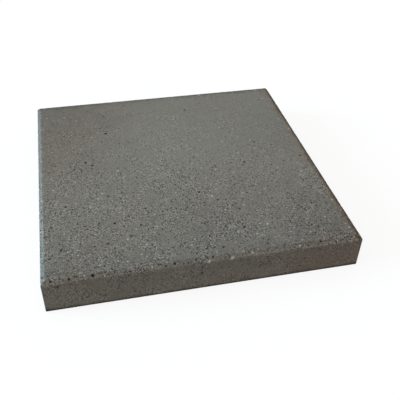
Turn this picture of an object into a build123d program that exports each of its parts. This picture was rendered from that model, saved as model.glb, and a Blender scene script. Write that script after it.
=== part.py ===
from build123d import *
import os

# A flat square pillar cap, cast in one piece from dense grey concrete.
# It beds in mortar on the head of a masonry pillar and overhangs it all round.
# The frame is +Z up, with the origin at the centre of the bedding face.

# Driving dimensions in millimetres
cap_side = 400.0  # plan size, the same along X and Y
cap_thickness = 50.0  # bedding face to top face
arris_leg = 5.0  # each leg of the 45 degree arris round the top face
corner_radius = 2.0  # upright corners, as the mould eases them

# The slab, with its arris mitred at the corners, then the upright corners eased.
with BuildPart() as pillar_cap:
    with BuildSketch(Plane.XY):
        Rectangle(cap_side, cap_side)
    extrude(amount=cap_thickness)
    top_face = pillar_cap.faces().sort_by(Axis.Z)[-1]
    chamfer(top_face.edges(), length=arris_leg)
    with BuildSketch(Plane.XY):
        RectangleRounded(cap_side, cap_side, corner_radius)
    extrude(amount=cap_thickness, mode=Mode.INTERSECT)

pillar_cap.part.label = "pillar_cap"
os.makedirs("parts", exist_ok=True)
export_step(pillar_cap.part, "parts/pillar_cap.step")
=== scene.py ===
import math
import random

import bmesh
import bpy
from mathutils import Matrix, Vector, noise


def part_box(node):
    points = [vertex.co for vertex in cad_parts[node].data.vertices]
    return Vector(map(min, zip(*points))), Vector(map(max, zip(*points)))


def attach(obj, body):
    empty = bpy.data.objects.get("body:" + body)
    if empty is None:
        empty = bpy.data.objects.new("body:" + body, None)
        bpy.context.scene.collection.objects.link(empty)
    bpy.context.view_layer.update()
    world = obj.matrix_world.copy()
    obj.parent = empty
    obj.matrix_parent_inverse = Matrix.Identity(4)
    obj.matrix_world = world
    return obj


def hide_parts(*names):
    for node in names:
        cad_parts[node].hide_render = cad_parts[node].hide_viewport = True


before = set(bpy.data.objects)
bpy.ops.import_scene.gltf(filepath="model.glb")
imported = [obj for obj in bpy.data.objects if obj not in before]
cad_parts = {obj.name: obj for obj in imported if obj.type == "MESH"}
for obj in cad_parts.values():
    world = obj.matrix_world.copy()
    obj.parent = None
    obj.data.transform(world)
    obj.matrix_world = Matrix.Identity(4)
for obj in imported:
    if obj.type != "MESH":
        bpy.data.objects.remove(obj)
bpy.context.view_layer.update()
scene = bpy.context.scene
scene.view_settings.view_transform = "Standard"

# The pillar cap: one square slab of dense grey concrete, pressed in a mould and turned out as one piece.
# The mould leaves smooth upright sides and a 45 degree arris round the top. The top is open and sandy,
# with blow holes where air was trapped and pale stones where the cement skin has gone.
MM = 0.001
low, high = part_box("pillar_cap")
half_side = high.x
top_level = high.z
arris_leg = 5.0 * MM
edge_radius = 0.8 * MM  # what striking and handling leave on each sharp edge
sharp_angle = math.radians(30)
cell = 3.0 * MM  # spacing of the mesh, wide enough for each blow hole that is strewn
weld_distance = 0.01 * MM
top_half = half_side - arris_leg
across = round(2 * top_half / cell)

slab = bmesh.new()
# dirt and painted shade in the blow holes
dirt_and_shade_layer = slab.verts.layers.float.new("hole_dirt_and_shade")
stone_layer = slab.verts.layers.float.new("pale_stone")


def carry_rim(rows, reach, level):
    """Carries the open square rim on by rows of faces, out to a half side of reach at that level."""
    rim = [edge for edge in slab.edges if edge.is_boundary]
    from_reach = max(vert.co.x for edge in rim for vert in edge.verts)
    from_level = rim[0].verts[0].co.z
    for row in range(rows):
        grown = bmesh.ops.extrude_edge_only(slab, edges=rim)["geom"]
        rim = [part for part in grown if isinstance(part, bmesh.types.BMEdge) and part.is_boundary]
        moved = list(dict.fromkeys(vert for edge in rim for vert in edge.verts))
        before = from_reach + (reach - from_reach) * row / rows
        after = from_reach + (reach - from_reach) * (row + 1) / rows
        bmesh.ops.scale(slab, vec=(after / before, after / before, 1), verts=moved)
        bmesh.ops.translate(slab, vec=(0, 0, (level - from_level) / rows), verts=moved)


def add_level(size, level):
    """Adds a square sheet of cells with a half side of size at that level."""
    bmesh.ops.create_grid(
        slab, x_segments=across, y_segments=across, size=size, matrix=Matrix.Translation((0, 0, level)),
    )


add_level(top_half, top_level)
carry_rim(round(arris_leg * math.sqrt(2) / cell), half_side, top_level - arris_leg)
carry_rim(round((top_level - arris_leg) / cell), half_side, low.z)
add_level(half_side, low.z)
bmesh.ops.remove_doubles(slab, verts=slab.verts[:], dist=weld_distance)
bmesh.ops.recalc_face_normals(slab, faces=slab.faces[:])
sharp_edges = [edge for edge in slab.edges if edge.calc_face_angle() > sharp_angle]
bmesh.ops.bevel(
    slab, geom=sharp_edges, offset=edge_radius, affect="EDGES", segments=2, profile=0.5, material=-1,
)

# The bevel leaves its parts in another order in each run, and the random marks follow the order.
place_step = 0.05 * MM
most_steps = 10000.0  # more than the slab has along any side


def place_number(part):
    """A number for where a part of the mesh lies, in steps from a corner below the slab."""
    corners = [part] if isinstance(part, bmesh.types.BMVert) else part.verts
    middle = sum((corner.co for corner in corners), Vector()) / len(corners)
    steps_x, steps_y, steps_z = [round((along + half_side) / place_step) for along in middle]
    return (steps_x * most_steps + steps_y) * most_steps + steps_z


for sequence in (slab.verts, slab.edges, slab.faces):
    sequence.sort(key=place_number)

# The cast surface isn't dead flat. All its relief sinks into the slab, so the cap keeps its size.
rng = random.Random(41)
swell_depth, swell_length = 0.12 * MM, 70 * MM  # slow unevenness of each face
grit_depth = 0.06 * MM
drag_depth, drag_width, drag_length = 0.1 * MM, 6 * MM, 60 * MM  # rub marks of the mould on the sides
crumble_depth, crumble_length = 1.2 * MM, 5 * MM  # sand lost along the arris
crumble_from = 0.1  # how high the noise is where the first sand is lost
shift_share = 0.25  # of a cell, so that the marks on the top don't stand in rows
flat_limit = 0.999  # a corner is flat where its normal and those of its faces agree better than this
side_limit, top_limit = 0.1, 0.99  # for the upward part of a normal, on the sides and on the top


def out_from_middle(place):
    """The half side of the upright square that passes through a place."""
    return max(abs(place.x), abs(place.y))


slab.normal_update()
flat_verts = [
    vert for vert in slab.verts
    if all(face.normal.dot(vert.normal) > flat_limit for face in vert.link_faces)
]
for vert in slab.verts:
    co = vert.co.copy()
    sink = swell_depth * (0.5 + 0.5 * noise.noise(co / swell_length)) + grit_depth * rng.random()
    if abs(vert.normal.z) < side_limit:
        drag = noise.noise(Vector((co.x / drag_width, co.y / drag_width, co.z / drag_length)))
        sink += drag_depth * max(0.0, drag)
    if side_limit < vert.normal.z < top_limit:
        sink += crumble_depth * max(0.0, noise.noise(co / crumble_length) - crumble_from)
    if vert.normal.z > top_limit and out_from_middle(co) < top_half - cell:
        shift_x = rng.uniform(-shift_share, shift_share)
        shift_y = rng.uniform(-shift_share, shift_share)
        co += Vector((shift_x, shift_y, 0)) * cell
    vert.co = co - vert.normal * sink

# Blow holes and pale stones, each worked into one face of the mesh, and no two of them touching.
# The ones that stand out have their own places. The rest are strewn in patches, thickest at the front.
seen_holes = (  # the place and the radius of each, in millimetres
    (-140, -197, 48, 2.4), (-188, -197, 48, 1.6), (-166, -197, 48, 1.7), (-43, -198, 47, 1.9),
    (-96, 99, 50, 2.5), (-134, 26, 50, 2.5), (-124, 19, 50, 2.2), (126, 32, 50, 2.0),
    (40, 147, 50, 2.0), (184, -16, 50, 1.8), (97, -17, 50, 1.8), (-107, -56, 50, 1.8),
    (-166, -69, 50, 2.0), (16, -71, 50, 1.8), (36, -93, 50, 1.7), (-105, -114, 50, 1.9),
    (61, -117, 50, 1.7), (158, -122, 50, 1.6), (-72, -123, 50, 1.7), (-86, -142, 50, 1.7),
    (-118, -149, 50, 1.8), (-174, -149, 50, 1.7), (34, -147, 50, 1.6), (56, -153, 50, 1.8),
    (21, -182, 50, 1.8), (-9, -200, 27, 1.6), (-183, -200, 38, 1.3), (-72, -200, 11, 1.3),
)
seen_stones = (
    (30, -85, 50, 1.8), (88, -154, 50, 1.9), (79, -148, 50, 1.4), (-181, -30, 50, 1.6),
    (30, -19, 50, 1.4), (-92, -148, 50, 1.5), (188, -122, 50, 1.6), (187, -179, 50, 1.5),
    (-64, -102, 50, 1.4), (69, -168, 50, 1.4), (55, -198, 47, 1.6), (115, -198, 47, 1.5),
    (-71, -198, 47, 1.5),
)
hole_depth, hole_floor = 0.75, 0.6  # shares of a hole's radius
stone_rise, stone_crown = 0.02, 0.8  # shares of a stone's radius
least_radius, most_radius = 0.5 * MM, 1.4 * MM  # of the ones that are strewn
mean_chance, patch_length = 0.55, 30 * MM  # of the patches that they are strewn in
backwards = Vector((0.3, 1, 0))  # the open skin reaches further back on the left than on the right
most_share = 0.9
spots = []
used_corners = set()


def claim(face, middle, radius, layer):
    """Takes a face for one mark, so that no other mark touches its corners."""
    spots.append((face, middle, face.normal.copy(), radius, layer))
    used_corners.update(face.verts)


def strew(faces, count, layer, chance):
    """Claims up to that many of the faces at random, each with its own chance. Most spots are small."""
    left = count
    for face in rng.sample(faces, len(faces)):
        middle = face.calc_center_median()
        if left and rng.random() < chance(middle) and used_corners.isdisjoint(face.verts):
            radius = least_radius + (most_radius - least_radius) * rng.random() ** 2
            corner = face.verts[rng.randrange(4)].co
            room = 1 - radius / most_radius
            aside = (corner - middle) * room * rng.random() / 2
            claim(face, middle + aside, radius, layer)
            left -= 1


def patchy(place):
    return mean_chance + noise.noise(place / patch_length)


def towards_front(place, last_line, fade_length, least_share):
    """A share that grows from a line across the top towards the front, and is the least one behind it."""
    grown = (last_line - place.dot(backwards)) / fade_length
    return min(max(least_share, grown), most_share)


def hole_chance(place):
    return patchy(place) * towards_front(place, last_line=80 * MM, fade_length=190 * MM, least_share=0.06)


def stone_chance(place):
    return patchy(place) * towards_front(place, last_line=50 * MM, fade_length=170 * MM, least_share=0.04)


slab.normal_update()
for marks, layer in ((seen_holes, dirt_and_shade_layer), (seen_stones, stone_layer)):
    for x, y, z, radius in marks:
        middle = Vector((x, y, z)) * MM
        nearest = min(flat_verts, key=lambda vert: (vert.co - middle).length)
        joined = bmesh.ops.dissolve_faces(slab, faces=nearest.link_faces[:])["region"][0]
        flat_verts.remove(nearest)
        joined.normal_update()
        claim(joined, joined.calc_center_median(), radius * MM, layer)

# The whole cells that are left, by how far up they face. A cell that an eased edge narrows isn't whole.
whole_area = 0.8 * cell ** 2
level_limit, arris_low, arris_high, upright_limit = 0.95, 0.4, 0.9, 0.2
whole = [face for face in slab.faces if len(face.verts) == 4 and face.calc_area() > whole_area]
top_faces = [face for face in whole if face.normal.z > level_limit]
arris_faces = [face for face in whole if arris_low < face.normal.z < arris_high]
side_faces = [face for face in whole if abs(face.normal.z) < upright_limit]
bed_faces = [face for face in whole if face.normal.z < -level_limit]
strew(top_faces, count=1050, layer=dirt_and_shade_layer, chance=hole_chance)
strew(arris_faces, count=250, layer=dirt_and_shade_layer, chance=patchy)
strew(side_faces, count=130, layer=dirt_and_shade_layer, chance=patchy)
strew(bed_faces, count=180, layer=dirt_and_shade_layer, chance=patchy)
strew(top_faces, count=290, layer=stone_layer, chance=stone_chance)
strew(arris_faces, count=90, layer=stone_layer, chance=patchy)
strew(side_faces, count=15, layer=stone_layer, chance=patchy)

# Each mark is a ring in its face, a rim that isn't quite round, and the floor or the crown within it.
ring_share = 1.3  # of a mark's radius
least_ring, most_ring = 0.48 * cell, 0.95 * cell
inset_width = 0.1 * MM  # only parts the new corners from the old: they are put in their places afterwards
least_rim, most_rim = 0.8, 1.1  # shares of a mark's radius
# A hole's rim gets this much of its dirt and painted shade, and a stone's rim this much of its pale
# colour.
rim_strength = 0.35  # of a mark's colour
faces = [spot[0] for spot in spots]
square = [face for face in faces if len(face.verts) == 4]
bmesh.ops.bisect_edges(slab, edges=[edge for face in square for edge in face.edges], cuts=1)
for face, middle, up, radius, layer in spots:
    reach = min(max(radius * ring_share, least_ring), most_ring)
    centre = face.calc_center_median()
    for vert in face.verts:
        vert.co = centre + (vert.co - centre).normalized() * reach
bmesh.ops.inset_individual(slab, faces=faces, thickness=inset_width, use_even_offset=True)
for face, middle, up, radius, layer in spots:
    for vert in face.verts:
        vert.co = middle + (vert.co - middle).normalized() * radius * rng.uniform(least_rim, most_rim)
        vert[layer] = rim_strength
bmesh.ops.inset_individual(slab, faces=faces, thickness=inset_width, use_even_offset=True)
# Each hole's floor gets its full dirt and painted shade, and each stone's crown its full pale colour.
for face, middle, up, radius, layer in spots:
    if layer == dirt_and_shade_layer:
        share, lift = hole_floor, -hole_depth * radius
    else:
        share, lift = stone_crown, stone_rise * radius
    for vert in face.verts:
        vert.co = middle + (vert.co - middle) * share + up * lift
        vert[layer] = 1.0

crease_angle = math.radians(40)
cap_mesh = bpy.data.meshes.new("pillar_cap_cast")
slab.to_mesh(cap_mesh)
slab.free()
cap_mesh.shade_smooth()
cap_mesh.set_sharp_from_angle(angle=crease_angle)
cap = bpy.data.objects.new("pillar_cap_cast", cap_mesh)
scene.collection.objects.link(cap)


def linear(hex_colour):
    """An sRGB hex colour as linear red, green, blue and alpha."""
    parts = [int(hex_colour[start:start + 2], 16) / 255 for start in (1, 3, 5)]
    return [c / 12.92 if c <= 0.04045 else ((c + 0.055) / 1.055) ** 2.4 for c in parts] + [1.0]


def add_node(tree, kind, inputs=None, **settings):
    """Adds a node with its settings, and sets each input or links it to a socket or a node's result."""
    node = tree.nodes.new(kind)
    for name, value in settings.items():
        setattr(node, name, value)
    for name, value in (inputs or {}).items():
        if isinstance(value, bpy.types.Node):
            value = next(output for output in value.outputs if output.enabled)
        if isinstance(value, bpy.types.NodeSocket):
            tree.links.new(value, node.inputs[name])
        else:
            node.inputs[name].default_value = value
    return node


# Dense pressed concrete, cast grey: a matt cement skin that clouds between cool grey and brown, broken by
# sand. The eye sees fine light and dark specks, strongest where the top is open, and black blow holes.
# Their dark, and that of the pores, is painted shade, with some dirt in the holes too.
cement_grey = linear("#747269")
cement_brown = linear("#716a61")
stain_grey = linear("#5a5854")
stain_brown = linear("#6a6053")
pale_bloom = linear("#7c7b73")
# painted shade: a warm dark brown for the right arris, which faces away from the window
warm_painted_shade = linear("#6d5c46")
warm_brown = linear("#706559")
# painted shade: a near-black brown for the right and back arrises and round the foot
dark_painted_shade = linear("#2c231b")
# painted light: a cool blue-grey for the left arris, where the cool window falls
painted_window_tint = linear("#6e7371")
pale_sand = linear("#bdbcb4")
# painted shade: near black for pores, pits and blow holes
painted_pore_shade = linear("#1a1714")
concrete = bpy.data.materials.new("pressed_grey_concrete")
concrete.use_nodes = True
tree = concrete.node_tree
tree.nodes.clear()
coordinates = add_node(tree, "ShaderNodeTexCoord")
place = coordinates.outputs["Object"]

# Broad clouds of the cement, about 100 mm across, and then what weather and handling have left on it:
# stains, bloom, and a rubbed edge of the arris where two pale stones show. The dark along the right and
# back arrises and round the foot is painted shade, and the cool tint on the left arris is painted light.
cloud_size = 100 * MM
mix_share, mix_under, mix_over = 0, 6, 7  # the sockets of a Mix node that has colours to mix
clouds = add_node(tree, "ShaderNodeTexNoise", {"Vector": place, "Scale": 1 / cloud_size, "Detail": 4.0})
cloud_share = add_node(
    tree, "ShaderNodeMapRange", {"Value": clouds, "From Min": 0.35, "From Max": 0.65, "To Max": 0.5},
)
colour = add_node(
    tree, "ShaderNodeMix", {mix_share: cloud_share, mix_under: cement_grey, mix_over: cement_brown},
    data_type="RGBA",
)
round_spot, end_of_side, along_x, along_y = (1, 1, 1), (1, 12, 1), (0, 1, 1), (1, 0, 1)
stains = (  # each has its tint, middle, shape, reach in millimetres, and its share in the middle
    (pale_bloom, (-20, 70, 50), round_spot, 170, 0.6),
    (stain_grey, (-200, 200, 50), round_spot, 190, 0.6),
    (stain_brown, (-175, 85, 50), round_spot, 180, 0.4),
    (stain_grey, (230, 60, 50), round_spot, 140, 0.3),
    (stain_grey, (205, -205, 50), round_spot, 190, 0.85),
    (stain_brown, (190, -190, 50), round_spot, 120, 0.35),
    (stain_grey, (10, -150, 50), round_spot, 110, 0.35),
    (stain_grey, (-160, -200, 50), round_spot, 140, 0.4),
    (stain_brown, (-170, -203, 36), round_spot, 45, 1.0),
    (stain_brown, (-168, -197, 49), round_spot, 32, 0.5),
    (stain_brown, (138, -197, 48), round_spot, 28, 0.5),
    (stain_brown, (182, -197, 48), round_spot, 28, 0.5),
    (stain_grey, (-180, -196, 50), round_spot, 25, 0.6),
    (stain_grey, (180, -196, 50), round_spot, 30, 0.6),
    (warm_brown, (200, -205, 10), end_of_side, 210, 1.0),
    (stain_brown, (-130, 210, 50), round_spot, 150, 0.3),
    # painted light: the cool tint of the window on the left arris
    (painted_window_tint, (-199, 0, 48), along_y, 9, 0.6),
    (stain_grey, (0, -200, 50), along_x, 45, 0.3),
    (pale_bloom, (-175, -215, 15), round_spot, 80, 0.6),
    # painted shade on the right arris, which faces away from the window: a warm brown band and a dark line
    (warm_painted_shade, (198, 0, 50), along_y, 16, 0.8),
    (dark_painted_shade, (197, 0, 49), along_y, 7, 1.0),
    # painted shade along the back arris
    (dark_painted_shade, (0, 199, 50), along_x, 17, 0.55),
    (pale_sand, (0, -200, 45), along_x, 4, 0.08),
    (pale_sand, (-1, -200, 45), round_spot, 3.4, 1.0),
    (pale_sand, (28, -200, 45), round_spot, 4.8, 0.8),
    # painted shade round the foot, where the slab stands on the floor
    (dark_painted_shade, (0, -200, 0), along_x, 7, 1.0),
    (dark_painted_shade, (0, 200, 0), along_x, 7, 1.0),
    (dark_painted_shade, (-200, 0, 0), along_y, 7, 1.0),
    (dark_painted_shade, (200, 0, 0), along_y, 7, 1.0),
)
ragged_size = 20 * MM
least_reach, most_reach = 0.6, 1.4  # shares of a stain's reach, between which its ragged edge wanders
ragged = add_node(tree, "ShaderNodeTexNoise", {"Vector": place, "Scale": 1 / ragged_size, "Detail": 3.0})
for tint, middle, shape, reach, share in stains:
    spread = add_node(tree, "ShaderNodeVectorMath", {0: place, 1: shape}, operation="MULTIPLY")
    from_place = Vector(middle) * Vector(shape) * MM
    away = add_node(tree, "ShaderNodeVectorMath", {0: spread, 1: from_place}, operation="DISTANCE")
    edge = add_node(
        tree, "ShaderNodeMapRange",
        {
            "Value": ragged, "From Min": 0.3, "From Max": 0.7,
            "To Min": least_reach * reach * MM, "To Max": most_reach * reach * MM,
        },
    )
    fade = add_node(
        tree, "ShaderNodeMapRange",
        {"Value": away.outputs["Value"], "From Max": edge, "To Min": share, "To Max": 0.0},
        interpolation_type="SMOOTHSTEP",
    )
    colour = add_node(
        tree, "ShaderNodeMix", {mix_share: fade, mix_under: colour, mix_over: tint}, data_type="RGBA",
    )

# How open the skin is, in patches: most at the front of the top, less on the sides, and least at the back
# of the top. The arris is as open as the top beside it.
patch_size = 28 * MM
open_to = -125 * MM  # in front of this the top is as open as it gets
front_openness, back_openness, side_openness = 0.82, 0.31, 0.62
axes = add_node(tree, "ShaderNodeSeparateXYZ", {0: place})
facing = add_node(tree, "ShaderNodeSeparateXYZ", {0: coordinates.outputs["Normal"]})
to_back = add_node(tree, "ShaderNodeVectorMath", {0: place, 1: backwards}, operation="DOT_PRODUCT")
to_front = add_node(
    tree, "ShaderNodeMapRange",
    {
        "Value": to_back.outputs["Value"], "From Min": open_to, "From Max": half_side,
        "To Min": front_openness, "To Max": back_openness,
    },
)
patches = add_node(tree, "ShaderNodeTexNoise", {"Vector": place, "Scale": 1 / patch_size, "Detail": 2.0})
patch_share = add_node(
    tree, "ShaderNodeMapRange",
    {"Value": patches, "From Min": 0.35, "From Max": 0.65, "To Min": 0.4, "To Max": 1.3},
)
open_skin = add_node(
    tree, "ShaderNodeMapRange",
    {
        "Value": facing.outputs["Z"], "From Min": 0.3, "From Max": 0.6,
        "To Min": side_openness, "To Max": to_front,
    },
)
openness = add_node(tree, "ShaderNodeMath", {0: open_skin, 1: patch_share}, operation="MULTIPLY")

# Sand grains of about a millimetre, each with its own shade, over coarser grit that is darker at its rim.
grain_size = 1.0 * MM
sand = add_node(tree, "ShaderNodeTexVoronoi", {"Vector": place, "Scale": 1 / grain_size})
lots = add_node(tree, "ShaderNodeSeparateColor", {0: sand.outputs["Color"]})
sand_shade = add_node(
    tree, "ShaderNodeMapRange", {"Value": lots.outputs["Red"], "To Min": -0.7, "To Max": 0.7},
)
grit_size = 2.2 * MM
grit = add_node(tree, "ShaderNodeTexVoronoi", {"Vector": place, "Scale": 1 / grit_size})
grit_shade = add_node(
    tree, "ShaderNodeMapRange",
    {"Value": grit, "From Min": 0.25, "From Max": 0.85, "To Min": 0.5, "To Max": -0.5},
)
both_shades = add_node(tree, "ShaderNodeMath", {0: sand_shade, 1: grit_shade}, operation="ADD")
sand_light = add_node(
    tree, "ShaderNodeMath", {0: both_shades, 1: openness, 2: 1.0}, operation="MULTIPLY_ADD",
)
colour = add_node(tree, "ShaderNodeHueSaturation", {"Value": sand_light, "Color": colour})

solid_share = 0.6  # of a spot's radius, past which it fades


def scattered(spacing, radius, share):
    """Round spots in a random share of cells this far apart, as strong as the skin is open."""
    cells = add_node(tree, "ShaderNodeTexVoronoi", {"Vector": place, "Scale": 1 / spacing})
    spot = add_node(
        tree, "ShaderNodeMapRange",
        {
            "Value": cells, "From Min": solid_share * radius / spacing, "From Max": radius / spacing,
            "To Min": 1.0, "To Max": 0.0,
        },
    )
    lot = add_node(tree, "ShaderNodeSeparateColor", {0: cells.outputs["Color"]})
    chosen = add_node(
        tree, "ShaderNodeMath", {0: lot.outputs["Red"], 1: share}, operation="LESS_THAN",
    )
    kept = add_node(tree, "ShaderNodeMath", {0: spot, 1: chosen}, operation="MULTIPLY")
    return add_node(tree, "ShaderNodeMath", {0: kept, 1: openness}, operation="MULTIPLY", use_clamp=True)


pale_grains = scattered(spacing=2.3 * MM, radius=0.8 * MM, share=0.16)
# The pores are pits in the bump, and they are painted near black as painted shade.
pores_and_shade = scattered(spacing=2.7 * MM, radius=1.05 * MM, share=0.13)
stone = add_node(tree, "ShaderNodeAttribute", attribute_name="pale_stone")
# dirt and painted shade in the blow holes, carried by the mesh
dirt_and_shade = add_node(tree, "ShaderNodeAttribute", attribute_name="hole_dirt_and_shade")

# The upper and lower edges of the arris are rubbed pale in places, with painted shade of pits in others.
wear_size, wear_inner, wear_outer = 4.5 * MM, 0.4 * MM, 2.2 * MM
out_x = add_node(tree, "ShaderNodeMath", {0: axes.outputs["X"]}, operation="ABSOLUTE")
out_y = add_node(tree, "ShaderNodeMath", {0: axes.outputs["Y"]}, operation="ABSOLUTE")
outward = add_node(tree, "ShaderNodeMath", {0: out_x, 1: out_y}, operation="MAXIMUM")
section = add_node(tree, "ShaderNodeCombineXYZ", {"X": outward, "Z": axes.outputs["Z"]})
upper_edge, lower_edge = (top_half, 0, top_level), (half_side, 0, top_level - arris_leg)
to_upper = add_node(tree, "ShaderNodeVectorMath", {0: section, 1: upper_edge}, operation="DISTANCE")
to_lower = add_node(tree, "ShaderNodeVectorMath", {0: section, 1: lower_edge}, operation="DISTANCE")
to_edge = add_node(tree, "ShaderNodeMath", {0: to_upper, 1: to_lower}, operation="MINIMUM")
near_edge = add_node(
    tree, "ShaderNodeMapRange",
    {"Value": to_edge, "From Min": wear_inner, "From Max": wear_outer, "To Min": 1.0, "To Max": 0.0},
)
wear = add_node(tree, "ShaderNodeTexNoise", {"Vector": place, "Scale": 1 / wear_size, "Detail": 2.5})
worn = add_node(
    tree, "ShaderNodeMapRange",
    {"Value": wear, "From Min": 0.56, "From Max": 0.72, "To Max": near_edge},
)
painted_pit_shade = add_node(
    tree, "ShaderNodeMapRange",
    {"Value": wear, "From Min": 0.42, "From Max": 0.3, "To Max": near_edge},
)
for tint, where, strength in (
    (pale_sand, pale_grains.outputs[0], 0.85),
    # painted shade in the pores
    (painted_pore_shade, pores_and_shade.outputs[0], 0.7),
    (pale_sand, worn.outputs[0], 0.4),
    # painted shade of small pits along the arris edges
    (painted_pore_shade, painted_pit_shade.outputs[0], 0.6),
    (pale_sand, stone.outputs["Fac"], 0.6),
    # dirt and painted shade in the blow holes
    (painted_pore_shade, dirt_and_shade.outputs["Fac"], 0.95),
):
    share = add_node(tree, "ShaderNodeMath", {0: where, 1: strength}, operation="MULTIPLY")
    colour = add_node(
        tree, "ShaderNodeMix", {mix_share: share, mix_under: colour, mix_over: tint}, data_type="RGBA",
    )

# The grains stand up to a quarter of a millimetre out of the skin, and the pores are pits in it.
relief = 0.25 * MM
pore_depth = 1.5  # times the height of a grain
dome = add_node(tree, "ShaderNodeMapRange", {"Value": sand, "From Max": 0.8, "To Min": 1.0, "To Max": 0.0})
rise = add_node(tree, "ShaderNodeMath", {0: dome, 1: lots.outputs["Green"]}, operation="MULTIPLY")
open_rise = add_node(tree, "ShaderNodeMath", {0: rise, 1: openness}, operation="MULTIPLY")
height = add_node(
    tree, "ShaderNodeMath", {0: pores_and_shade, 1: -pore_depth, 2: open_rise}, operation="MULTIPLY_ADD",
)
bump = add_node(tree, "ShaderNodeBump", {"Height": height, "Strength": 1.0, "Distance": relief})
roughness = add_node(
    tree, "ShaderNodeMapRange", {"Value": lots.outputs["Blue"], "To Min": 0.8, "To Max": 0.95},
)
surface = add_node(
    tree, "ShaderNodeBsdfPrincipled",
    {"Base Color": colour, "Roughness": roughness, "IOR": 1.5, "Normal": bump},
)
add_node(tree, "ShaderNodeOutputMaterial", {"Surface": surface})
cap_mesh.materials.append(concrete)
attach(cap, "root")
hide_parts("pillar_cap")

# The studio: a plain pale floor under a soft sky, and a broad cool window low on the left. To the eye the
# floor is white with a faint shadow, and the light that it throws back is dim and warm.
floor_drop = 0.2 * MM  # clear of the bedding face
floor_half_side = 6.0  # metres
floor_mesh = bpy.data.meshes.new("studio_floor")
floor_sheet = bmesh.new()
bmesh.ops.create_grid(
    floor_sheet, x_segments=1, y_segments=1, size=floor_half_side,
    matrix=Matrix.Translation((0, 0, -floor_drop)),
)
floor_sheet.to_mesh(floor_mesh)
floor_sheet.free()
floor = bpy.data.objects.new("studio_floor", floor_mesh)
scene.collection.objects.link(floor)


def seen_directly(tree):
    """1 for camera, mirror and glass rays, and 0 for the light that surfaces scatter."""
    path = add_node(tree, "ShaderNodeLightPath").outputs
    either = {0: path["Is Camera Ray"], 1: path["Is Glossy Ray"]}
    seen = add_node(tree, "ShaderNodeMath", either, operation="MAXIMUM")
    return add_node(tree, "ShaderNodeMath", {0: seen, 1: path["Is Transmission Ray"]}, operation="MAXIMUM")


floor_bounce = linear("#7c7874")
floor_shown = linear("#707070")
floor_glow = 0.86  # with the light that falls on it, this makes the open floor white
pale_paint = bpy.data.materials.new("matt_white_floor_paint")
pale_paint.use_nodes = True
tree = pale_paint.node_tree
tree.nodes.clear()
seen = seen_directly(tree)
dim = add_node(tree, "ShaderNodeBsdfDiffuse", {"Color": floor_bounce})
shown = add_node(tree, "ShaderNodeBsdfDiffuse", {"Color": floor_shown})
glow = add_node(tree, "ShaderNodeEmission", {"Strength": floor_glow})
lit = add_node(tree, "ShaderNodeAddShader", {0: shown, 1: glow})
both = add_node(tree, "ShaderNodeMixShader", {0: seen, 1: dim, 2: lit})
add_node(tree, "ShaderNodeOutputMaterial", {"Surface": both})
floor_mesh.materials.append(pale_paint)

# The sky is a little warm, and dimmest to the right of the cap and a little behind it, where the room is
# dark. Seen directly it is plain white.
warm_sky, white_sky = linear("#fff9f6"), linear("#ffffff")
bright_sky, dim_sky = 1.0, 0.46
dark_side = Vector((0.95, 0.31, 0.0))
world = bpy.data.worlds.new("soft_studio_sky")
world.use_nodes = True
tree = world.node_tree
tree.nodes.clear()
ray = add_node(tree, "ShaderNodeTexCoord").outputs["Generated"]
to_dark = add_node(tree, "ShaderNodeVectorMath", {0: ray, 1: dark_side}, operation="DOT_PRODUCT")
sky_level = add_node(
    tree, "ShaderNodeMapRange",
    {"Value": to_dark, "From Min": -1.0, "From Max": 1.0, "To Min": bright_sky, "To Max": dim_sky},
)
sky = add_node(tree, "ShaderNodeBackground", {"Color": warm_sky, "Strength": sky_level})
white = add_node(tree, "ShaderNodeBackground", {"Color": white_sky, "Strength": 1.0})
both = add_node(tree, "ShaderNodeMixShader", {0: seen_directly(tree), 1: sky, 2: white})
add_node(tree, "ShaderNodeOutputWorld", {"Surface": both})
scene.world = world

# The window is a broad, cool light that comes from the left and a little from the back.
quarter_turn = math.radians(90)
window_height, window_turn = math.radians(14), math.radians(10)  # above the floor, and back from the left
window_strength, window_width = 3.6, math.radians(30)
window_data = bpy.data.lights.new("low_window", "SUN")
window_data.energy = window_strength
window_data.angle = window_width
window_data.color = linear("#c0e8ff")[:3]
window = bpy.data.objects.new("low_window", window_data)
window.rotation_euler = (quarter_turn - window_height, 0, -quarter_turn - window_turn)
scene.collection.objects.link(window)

# The camera stands in front of the cap, a little left of its middle, and looks down on it across the top.
camera_place = Vector((-130.5, -674.8, 544.0)) * MM
look_down, look_right, lean = math.radians(39.33), math.radians(13.71), math.radians(1.63)
camera_data = bpy.data.cameras.new("photo_camera")
camera_data.sensor_width = 36.0
camera_data.lens = 51.96
camera = bpy.data.objects.new("photo_camera", camera_data)
camera.matrix_world = (
    Matrix.Translation(camera_place)
    @ Matrix.Rotation(-look_right, 4, "Z")
    @ Matrix.Rotation(quarter_turn - look_down, 4, "X")
    @ Matrix.Rotation(lean, 4, "Z")
)
scene.collection.objects.link(camera)
scene.camera = camera
